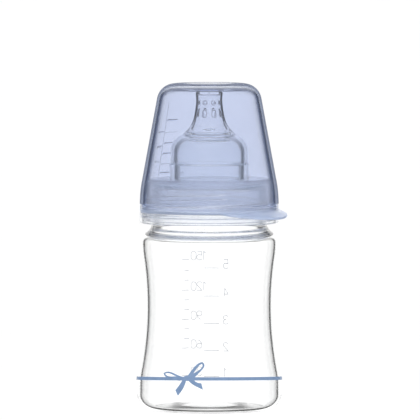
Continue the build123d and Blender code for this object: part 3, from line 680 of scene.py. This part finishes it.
def cap_rim(heading):
    """The cap's lower end at a heading: underside, edge, flare and side up to FLARE_TOP_Z."""
    along = math.cos(math.radians(heading - TAB_HEADING))
    half_t = TAB_T / 2
    lip_r = tab_edge_r(heading) - half_t

    def level(r):
        return CAP_BOTTOM_Z + half_t - TAB_SLOPE * np.maximum(r * along - TAB_CROSS, 0)

    def wall_r(z):
        return np.interp(z, CAP_SKIRT[:, 1], CAP_SKIRT[:, 0])

    under_r = np.linspace(CAP_BOTTOM_R - CAP_WALL, lip_r, UNDER_ROWS)
    drop = level(under_r) - half_t - CAP_BOTTOM_Z
    under_z = CAP_BOTTOM_Z + drop * smooth(TAB_UNDER_FROM_R, TAB_UNDER_TO_R, under_r)
    turn = np.radians(np.linspace(-90, 90, 2 * EDGE_ROWS + 1)[1:])
    edge_r, edge_z = lip_r + half_t * np.cos(turn), level(lip_r) + half_t * np.sin(turn)
    edge_r = np.where(turn > 0, np.maximum(edge_r, wall_r(edge_z)), edge_r)
    flare_r, flare_z = tab_flare(lip_r, along, level, wall_r)
    side_from_z = flare_z[-1] if len(flare_z) else edge_z[-1]
    side_z = np.linspace(side_from_z, FLARE_TOP_Z, SIDE_POINTS)[1:]
    path_r = np.concatenate([edge_r[-1:], flare_r, wall_r(side_z)])
    path_z = np.concatenate([edge_z[-1:], flare_z, side_z])
    gone = np.concatenate([[0], np.cumsum(np.hypot(np.diff(path_r), np.diff(path_z)))])
    even = np.linspace(0, gone[-1], FLARE_ROWS)
    r, z = np.interp(even, gone, path_r), np.interp(even, gone, path_z)
    for _ in range(SMOOTH_PASSES):
        r[1:-1] = (r[:-2] + 2 * r[1:-1] + r[2:]) / 4
        z[1:-1] = (z[:-2] + 2 * z[1:-1] + z[2:]) / 4
    return np.concatenate([under_r, edge_r, r[1:]]), np.concatenate([under_z, edge_z, z[1:]])


def edges_of(centre, half):
    """Where a raised line's ramps start and end, across it."""
    return [centre - half - SCALE_RAMP, centre - half, centre + half, centre + half + SCALE_RAMP]


def raised_line(x, z, upright_x):
    """How far the measuring lines stand out, 0 to 1; x and upright_x are from the upright line."""

    def within(value, low, high, ramp):
        return np.minimum(smooth(low - ramp, low, value), 1 - smooth(high, high + ramp, value))

    half = SCALE_LINE_HALF_W
    high = within(upright_x, -half, half, SCALE_RAMP) * within(z, SCALE_FROM_Z, SCALE_TO_Z, SCALE_RAMP)
    millilitres = (ML_LINES_Z, -SCALE_GAP - ML_LINE_L, -SCALE_GAP)
    ounces = (OZ_LINES_Z, SCALE_GAP, SCALE_GAP + OZ_LINE_L)
    for levels, left, right in (millilitres, ounces):
        for level in levels:
            across = within(z, level - half, level + half, SCALE_RAMP)
            high = np.maximum(high, across * within(x, left, right, SCALE_END_RAMP))
    return high


def from_scale(headings):
    """The angle from the cap's upright line, -180 to 180."""
    return (headings - SCALE_HEADING + 180.0) % 360.0 - 180.0


def cap_headings():
    """Columns round the cap: close together across its measuring lines."""
    fine = SCALE_HEADING + np.arange(FINE_FROM, FINE_TO + FINE_STEP, FINE_STEP)
    edges = SCALE_HEADING + np.degrees(np.array(edges_of(0, SCALE_LINE_HALF_W)) / SCALE_WALL_R)
    fine = fine[np.abs(fine[:, None] - edges[None, :]).min(1) > LEAST_TURN]
    coarse = even_headings() + SCALE_HEADING - 360.0
    off = from_scale(coarse)
    coarse = coarse[(off < FINE_FROM - FINE_MARGIN) | (off > FINE_TO + FINE_MARGIN)]
    return np.sort(np.concatenate([fine, edges, coarse]) % 360.0)


def with_levels(points, levels):
    """The rising outline with more points on it, at the given heights."""
    z = points[:, 1]
    clear = np.abs(z[:, None] - np.array(levels)[None, :]).min(1) > LEAST_RISE
    extra = np.column_stack([np.interp(levels, z, points[:, 0]), levels])
    both = np.vstack([points[clear], extra])
    return both[np.argsort(both[:, 1], kind="stable")]


def cap_outline():
    """The cap's outline, with the rows of its rim at the heading of the tab's back."""
    skirt, wall, corner, roof = cap_side(0)
    above = joined([skirt[skirt[:, 1] > FLARE_TOP_Z + FLARE_GAP], wall, corner, roof])
    levels = [SCALE_FROM_Z - SCALE_RAMP, SCALE_FROM_Z, SCALE_TO_Z, SCALE_TO_Z + SCALE_RAMP]
    for level in ML_LINES_Z + OZ_LINES_Z:
        levels += edges_of(level, SCALE_LINE_HALF_W)
    rim = np.column_stack(cap_rim(TAB_HEADING + 180.0))
    inside = cap_inside()
    return np.vstack([inside, rim, with_levels(above, sorted(levels))]), len(inside), len(rim)


def make_cap():
    outline, rim_from, rim_rows = cap_outline()
    rim_to = rim_from + rim_rows

    def shaped(r, z, headings):
        for column, heading in enumerate(headings[0]):
            r[rim_from:rim_to, column], z[rim_from:rim_to, column] = cap_rim(float(heading))
        off = from_scale(headings)
        x = r * np.sin(np.radians(np.clip(off, -SCALE_NEAR, SCALE_NEAR)))
        high = raised_line(x, z, np.radians(off) * SCALE_WALL_R)
        high[:rim_to] = 0
        # Painted shade along the cap's outline above its rim, less of it on the roof.
        roof = (z > ROOF_MARKED_FROM_Z) * ROOF_PAINTED_SHADE * (1 - smooth(ROOF_MARK_R, CAP_ROOF_R, r))
        marks = np.where(z > CAP_MARKED_FROM_Z, roof, NO_PAINTED_SHADE)
        return r + SCALE_OUT * high, z + SCALE_UP * high, marks

    return lathe("cap_shell", outline, cap_headings(), True, shaped)


CAP_SKIRT = cap_side(0)[0]
TAB_FLARE = curve(
    [(TAB_DISC_R - TAB_FLARE_IN, TAB_FLARE_H), (TAB_DISC_R - TAB_T / 2, 0)],
    (0, -1),
    (1, -0.02),
    0.1,
)


# ------------------------------------------------------------ shader nodes


def material(name):
    """An empty material, and its node tree."""
    made = bpy.data.materials.new(name)
    made.use_nodes = True
    made.node_tree.nodes.clear()
    return made, made.node_tree


def node(tree, kind, inputs=None, **settings):
    """A shader node with its settings, and its inputs linked or set."""
    made = tree.nodes.new("ShaderNode" + kind)
    for key, value in settings.items():
        setattr(made, key, value)
    for key, value in (inputs or {}).items():
        if isinstance(value, bpy.types.NodeSocket):
            tree.links.new(value, made.inputs[key])
        else:
            made.inputs[key].default_value = value
    return made


def surface(tree, shader):
    tree.links.new(shader, node(tree, "OutputMaterial").inputs["Surface"])


def object_place(tree):
    return node(tree, "TexCoord").outputs["Object"]


def maths(tree, operation, *values):
    return node(tree, "Math", dict(enumerate(values)), operation=operation).outputs[0]


def noise(tree, at, scale, detail, roughness=0.5):
    inputs = {"Vector": at, "Scale": scale, "Detail": detail, "Roughness": roughness}
    return node(tree, "TexNoise", inputs).outputs["Fac"]


def ranged(tree, value, start, end, low, high):
    """Goes from low to high as value goes from start to end."""
    inputs = {"Value": value, "From Min": start, "From Max": end, "To Min": low, "To Max": high}
    return node(tree, "MapRange", inputs).outputs[0]


def between(tree, fac, low, high):
    """A value from low to high over the range that a noise mostly takes."""
    return ranged(tree, fac, 0.3, 0.7, low, high)


def mixed(tree, share, one, two):
    """A share of the second shader in the first."""
    return node(tree, "MixShader", {0: share, 1: one, 2: two}).outputs[0]


def mixed_colour(tree, share, one, two):
    """A share of the second colour in the first; inputs 6 and 7 are a Mix node's colours."""
    made = node(tree, "Mix", {"Factor": share}, data_type="RGBA")
    for socket, colour in ((made.inputs[6], one), (made.inputs[7], two)):
        if isinstance(colour, bpy.types.NodeSocket):
            tree.links.new(colour, socket)
        else:
            socket.default_value = (*colour, 1)
    return made.outputs[2]


def stepped(tree, value, stops):
    """A factor that goes through the given (place, grey) stops as value grows from 0 to 1."""
    ramp = node(tree, "ValToRGB", {"Fac": value})
    colours = ramp.color_ramp.elements
    while len(colours) < len(stops):
        colours.new(0.5)
    for stop, (place, grey) in zip(colours, stops):
        stop.position, stop.color = place, (grey, grey, grey, 1)
    return ramp.outputs[0]


def bumpy(tree, height, strength, distance):
    inputs = {"Height": height, "Strength": strength, "Distance": distance}
    return node(tree, "Bump", inputs).outputs[0]


# ------------------------------------------------------------ clear materials

# In metres: how far the haze fades to each side of its level, and how high the surface waves.
HAZE_FADE, WAVE_H = 0.002, 1e-5
HAZE_ROUGHNESS = 0.45

# Noise scales are in lumps per metre. The streaks of wear are stretched upright.
CLOUD_SCALE, WEAR_SCALE, STREAK_SCALE = 60.0, 900.0, 2500.0
STREAK_STRETCH = (1.0, 1.0, 0.12)


def edge_on(tree):
    """How edge on a wall is seen, 0 to 1, shifted by its mark for painted shade."""
    facing = node(tree, "LayerWeight", {"Blend": 0.5}).outputs["Facing"]
    mark = node(tree, "Attribute", attribute_name="painted_outline").outputs["Fac"]
    return maths(tree, "ADD", facing, mark)


def tinted(tree, cloud, tints, edge):
    """The uneven tint, and the same with painted shade towards the outline."""
    plain = mixed_colour(tree, between(tree, cloud, 0.0, 1.0), *tints)
    if not edge:
        return plain, plain
    stops, outline_shade_colour = edge
    # Painted shade: the tint is multiplied towards a dark colour where a marked wall is seen edge on.
    shade = mixed_colour(tree, stepped(tree, edge_on(tree), stops), outline_shade_colour, (1, 1, 1))
    darkened = node(tree, "VectorMath", {0: plain, 1: shade}, operation="MULTIPLY").outputs[0]
    return plain, darkened


def polish(tree, at, rough):
    """Roughness between two values: upright streaks, broken up by fine wear."""
    fine = noise(tree, at, WEAR_SCALE, 4.0, 0.6)
    long_at = node(tree, "Mapping", {"Vector": at, "Scale": STREAK_STRETCH}).outputs[0]
    streaks = between(tree, noise(tree, long_at, STREAK_SCALE, 2.0), 0.0, 1.0)
    wear = maths(tree, "MULTIPLY", streaks, between(tree, fine, 0.2, 1.0))
    return between(tree, wear, *rough)


def hazed(tree, glass, at, cloud, milk, normal):
    """The clear shader with a share of cloudy plastic in it, one below a height and one above."""
    low, high, top_z, colour = milk
    z = node(tree, "SeparateXYZ", {0: at}).outputs["Z"]
    share = ranged(tree, z, top_z - HAZE_FADE, top_z + HAZE_FADE, low, high)
    share = maths(tree, "MULTIPLY", between(tree, cloud, 0.8, 1.2), share)
    inputs = {"Base Color": (*colour, 1), "Roughness": HAZE_ROUGHNESS, "Normal": normal}
    return mixed(tree, share, glass, node(tree, "BsdfPrincipled", inputs).outputs[0])


def painted_outline(tree, glass, stops, colour):
    """The clear shader with a dull dark one over outer walls that are seen edge on: a painted dark
    outline.
    """
    inside = node(tree, "NewGeometry").outputs["Backfacing"]
    share = stepped(tree, maths(tree, "SUBTRACT", edge_on(tree), inside), stops)
    return mixed(tree, share, glass, node(tree, "BsdfDiffuse", {"Color": (*colour, 1)}).outputs[0])


def letting_light_through(tree, glass, tint):
    """The shader as seen, and a plain tinted opening for light that falls on other things."""
    rays = node(tree, "LightPath").outputs
    lit = maths(tree, "MAXIMUM", rays["Is Shadow Ray"], rays["Is Diffuse Ray"])
    root = node(tree, "Gamma", {"Color": tint, "Gamma": 0.5}).outputs[0]
    return mixed(tree, lit, glass, node(tree, "BsdfTransparent", {"Color": root}).outputs[0])


def clear_finish(name, tints, ior, rough, wave_scale, milk=None, edge=None, grazing=None):
    """See-through material with uneven tint, fine wear in its polish and a wavy surface.

    milk is a share of haze below a height, one above it, that height and a colour.
    edge and grazing are stops and a colour: one for painted shade in the tint, one for a painted dull
    dark outline.
    """
    made, tree = material(name)
    at = object_place(tree)
    cloud = noise(tree, at, CLOUD_SCALE, 2.0)
    # colour carries painted shade towards the outline; plain has none and tints the light let through.
    plain, colour = tinted(tree, cloud, tints, edge)
    ripple = bumpy(tree, noise(tree, at, wave_scale, 2.0), 1.0, WAVE_H)
    inputs = {
        "Base Color": colour,
        "Roughness": polish(tree, at, rough),
        "IOR": ior,
        "Transmission Weight": 1.0,
        "Normal": ripple,
    }
    shader = node(tree, "BsdfPrincipled", inputs).outputs[0]
    if milk:
        shader = hazed(tree, shader, at, cloud, milk, ripple)
    # grazing adds a painted dark outline.
    if grazing:
        shader = painted_outline(tree, shader, *grazing)
    surface(tree, letting_light_through(tree, shader, plain))
    return made


def glass_finish():
    # Painted shade: the glass's tint darkens to lilac grey where its outer wall is seen edge on.
    stops = [(0.0, 1.0), (0.8, 1.0), (0.92, 0.6), (1.0, 0.0)]
    return clear_finish(
        "clear_glass",
        tints=[(1, 1, 1), (0.985, 0.99, 0.99)],
        ior=1.5,
        rough=(0.0, 0.012),
        wave_scale=45.0,
        edge=(stops, (0.62, 0.58, 0.62)),
    )


def silicone_finish():
    # Painted shade: near-black outlines on the nipple and dark rings on its studs, in the tint and as
    # a dull dark shader.
    edge_stops = [(0.0, 1.0), (0.42, 1.0), (0.5, 0.4), (0.6, 0.05), (1.0, 0.0)]
    grazing_stops = [(0.0, 0.0), (0.46, 0.0), (0.56, 0.6), (0.7, 0.85), (1.0, 0.85)]
    return clear_finish(
        "clear_silicone",
        tints=[(0.975, 0.98, 0.99), (0.95, 0.96, 0.975)],
        ior=1.41,
        rough=(0.01, 0.05),
        wave_scale=250.0,
        milk=(0.05, 0.0, 0.124, (0.75, 0.9, 1.0)),
        edge=(edge_stops, (0.02, 0.03, 0.05)),
        grazing=(grazing_stops, (0.01, 0.015, 0.03)),
    )


def ring_finish():
    return clear_finish(
        "clear_ring_plastic",
        tints=[(0.975, 0.98, 0.985), (0.95, 0.955, 0.97)],
        ior=1.49,
        rough=(0.08, 0.18),
        wave_scale=150.0,
        milk=(0.07, 0.2, 0.088, (0.78, 0.84, 0.94)),
    )


def cap_finish():
    # Painted shade: slate-blue outlines where the cap is seen edge on, in the tint and as a dull dark
    # shader.
    edge_stops = [(0.0, 1.0), (0.52, 1.0), (0.63, 0.85), (0.69, 0.6), (0.74, 0.1), (1.0, 0.0)]
    grazing_stops = [(0.0, 0.0), (0.6, 0.0), (0.7, 0.45), (0.8, 0.8), (1.0, 0.85)]
    return clear_finish(
        "blue_cap_plastic",
        tints=[(0.717, 0.754, 0.862), (0.705, 0.742, 0.853)],
        ior=1.5,
        rough=(0.0, 0.015),
        wave_scale=90.0,
        milk=(0.55, 0.02, 0.0905, (0.58, 0.68, 0.9)),
        edge=(edge_stops, (0.26, 0.34, 0.46)),
        grazing=(grazing_stops, (0.13, 0.16, 0.26)),
    )


# ------------------------------------------------------------ enamel

ENAMEL_CLOUD_SCALE, PINHOLE_SCALE, PINHOLE_DEPTH = 250.0, 2600.0, 3e-5


def enamel(name, colour, darker):
    """Fired enamel: satin, a little uneven in thickness, with pinholes."""
    made, tree = material(name)
    at = object_place(tree)
    cloud, grain = noise(tree, at, ENAMEL_CLOUD_SCALE, 3.0), noise(tree, at, PINHOLE_SCALE, 2.0)
    inputs = {
        "Base Color": mixed_colour(tree, between(tree, cloud, 0.0, 1.0), colour, darker),
        "Roughness": between(tree, grain, 0.3, 0.5),
        "Normal": bumpy(tree, grain, 0.5, PINHOLE_DEPTH),
    }
    surface(tree, node(tree, "BsdfPrincipled", inputs).outputs[0])
    return made


def print_on(cad_node, finish):
    """Gives a printed CAD piece its enamel."""
    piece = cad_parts[cad_node]
    piece.data.materials.clear()
    piece.data.materials.append(finish)


# ------------------------------------------------------------ pieces

stand_for(make_glass(), "glass_bottle", "bottle", glass_finish())
stand_for(make_ring(), "screw_ring", "ring", ring_finish())
stand_for(make_teat(), "teat", "teat", silicone_finish())
stand_for(make_cap(), "cap", "cap", cap_finish())

blue = enamel("blue_enamel", (0.24, 0.36, 0.58), (0.19, 0.30, 0.50))
grey = enamel("grey_enamel", (0.54, 0.56, 0.60), (0.48, 0.50, 0.54))
print_on("ribbon_print", blue)
print_on("scale_print", grey)

# ------------------------------------------------------------ floor, light and camera

# Brightness of the studio by the angle off the line of sight, as a share of a half turn.
# It is dark in a ring round the bottle, and less so for light that falls steeply.
LIGHT_ROUND = [(0.0, 1.0), (0.163, 1.0), (0.176, 0.03), (0.26, 0.04), (0.34, 0.62), (1.0, 0.84)]
LIGHT_OVER = [(0.0, 1.0), (0.17, 1.0), (0.2, 0.6), (0.35, 0.6), (0.42, 0.8), (1.0, 0.9)]
LEVEL_BELOW, STEEP_ABOVE = math.radians(25), math.radians(50)
STUDIO_STRENGTH, BACKDROP = 1.2, 0.84

# Metres and radians. The floor lies just under the bottle and fades out round its edge.
FLOOR_REACH, FLOOR_SIDES, FLOOR_DROP = 0.6, 96, 2e-5
FLOOR_FADE_FROM, FLOOR_FADE_TO = 0.25, 0.55
FLOOR_GLOW, FLOOR_GLOW_SHARE, FLOOR_GRAIN_SCALE = 1.03, 0.92, 800.0
CAMERA_AWAY, CAMERA_TILT = 6.0, math.radians(3.1)
CAMERA_SIDE, CAMERA_HEIGHT_SHARE = 0.00034, 0.61
CAMERA_NEAR, CAMERA_FAR = 0.1, 100.0

# Millimetres.
CAMERA_SENSOR, CAMERA_LENS = 36.0, 1143.0

CLEAR_BOUNCES, GLOSSY_BOUNCES = 48, 12


def floor_finish():
    """A pale table top with a fine grain, lit evenly and seen by the camera alone."""
    made, tree = material("pale_table")
    at = object_place(tree)
    grain = noise(tree, at, FLOOR_GRAIN_SCALE, 4.0)
    colour = mixed_colour(tree, grain, (0.93, 0.93, 0.935), (0.95, 0.95, 0.95))
    rough = between(tree, grain, 0.6, 0.9)
    dull = node(tree, "BsdfDiffuse", {"Color": colour, "Roughness": rough}).outputs[0]
    glow = node(tree, "Emission", {"Color": (1, 1, 1, 1), "Strength": FLOOR_GLOW}).outputs[0]
    away = node(tree, "VectorMath", {0: at}, operation="LENGTH").outputs["Value"]
    fade = ranged(tree, away, FLOOR_FADE_FROM, FLOOR_FADE_TO, 0.0, 1.0)
    unseen = maths(tree, "SUBTRACT", 1.0, node(tree, "LightPath").outputs["Is Camera Ray"])
    hidden = maths(tree, "MAXIMUM", fade, unseen)
    clear = node(tree, "BsdfTransparent").outputs[0]
    surface(tree, mixed(tree, hidden, mixed(tree, FLOOR_GLOW_SHARE, dull, glow), clear))
    return made


def add_floor():
    z = CAD_BOX[0].z - FLOOR_DROP
    angles = np.radians(np.arange(FLOOR_SIDES) * 360.0 / FLOOR_SIDES)
    points = [(FLOOR_REACH * math.cos(a), FLOOR_REACH * math.sin(a), z) for a in angles]
    mesh = bpy.data.meshes.new("table_top")
    mesh.from_pydata(points, [], [list(range(FLOOR_SIDES))])
    made = bpy.data.objects.new("table_top", mesh)
    bpy.context.scene.collection.objects.link(made)
    mesh.materials.append(floor_finish())


def add_light():
    """A white studio: bright behind the bottle and darker beside it, so that clear edges show."""
    world = bpy.data.worlds.new("studio")
    bpy.context.scene.world = world
    world.use_nodes = True
    tree = world.node_tree
    tree.nodes.clear()
    sight = node(tree, "TexCoord").outputs["Camera"]
    way = node(tree, "VectorMath", {0: sight}, operation="NORMALIZE").outputs[0]
    across, up, ahead = node(tree, "SeparateXYZ", {0: way}).outputs
    off = maths(tree, "DIVIDE", maths(tree, "ARCCOSINE", ahead), math.pi)
    steep = maths(tree, "ARCTAN2", up, maths(tree, "ABSOLUTE", across))
    share = ranged(tree, steep, LEVEL_BELOW, STEEP_ABOVE, 0.0, 1.0)
    around = mixed_colour(tree, share, stepped(tree, off, LIGHT_ROUND), stepped(tree, off, LIGHT_OVER))
    seen = node(tree, "LightPath").outputs["Is Camera Ray"]
    colour = mixed_colour(tree, seen, around, (BACKDROP, BACKDROP, BACKDROP))
    back = node(tree, "Background", {"Color": colour, "Strength": STUDIO_STRENGTH})
    tree.links.new(back.outputs[0], node(tree, "OutputWorld").inputs["Surface"])


def add_camera():
    """A very long lens, a little above the level of the bottle's middle."""
    data = bpy.data.cameras.new("camera")
    data.sensor_width, data.lens = CAMERA_SENSOR, CAMERA_LENS
    data.clip_start, data.clip_end = CAMERA_NEAR, CAMERA_FAR
    made = bpy.data.objects.new("camera", data)
    bpy.context.scene.collection.objects.link(made)
    low, high = CAD_BOX
    target = Vector((CAMERA_SIDE, 0.0, low.z + CAMERA_HEIGHT_SHARE * (high.z - low.z)))
    back = Vector((0, -math.cos(CAMERA_TILT), math.sin(CAMERA_TILT)))
    made.location = target + CAMERA_AWAY * back
    made.rotation_euler = (math.radians(90) - CAMERA_TILT, 0, 0)
    bpy.context.scene.camera = made


def set_up_view():
    """Colours as they are, and light that passes through every clear wall."""
    scene = bpy.context.scene
    scene.view_settings.view_transform = "Standard"
    scene.cycles.max_bounces = CLEAR_BOUNCES
    scene.cycles.transmission_bounces = CLEAR_BOUNCES
    scene.cycles.transparent_max_bounces = CLEAR_BOUNCES
    scene.cycles.glossy_bounces = GLOSSY_BOUNCES
    scene.cycles.caustics_reflective = False
    scene.cycles.use_denoising = True


add_floor()
add_light()
add_camera()
set_up_view()
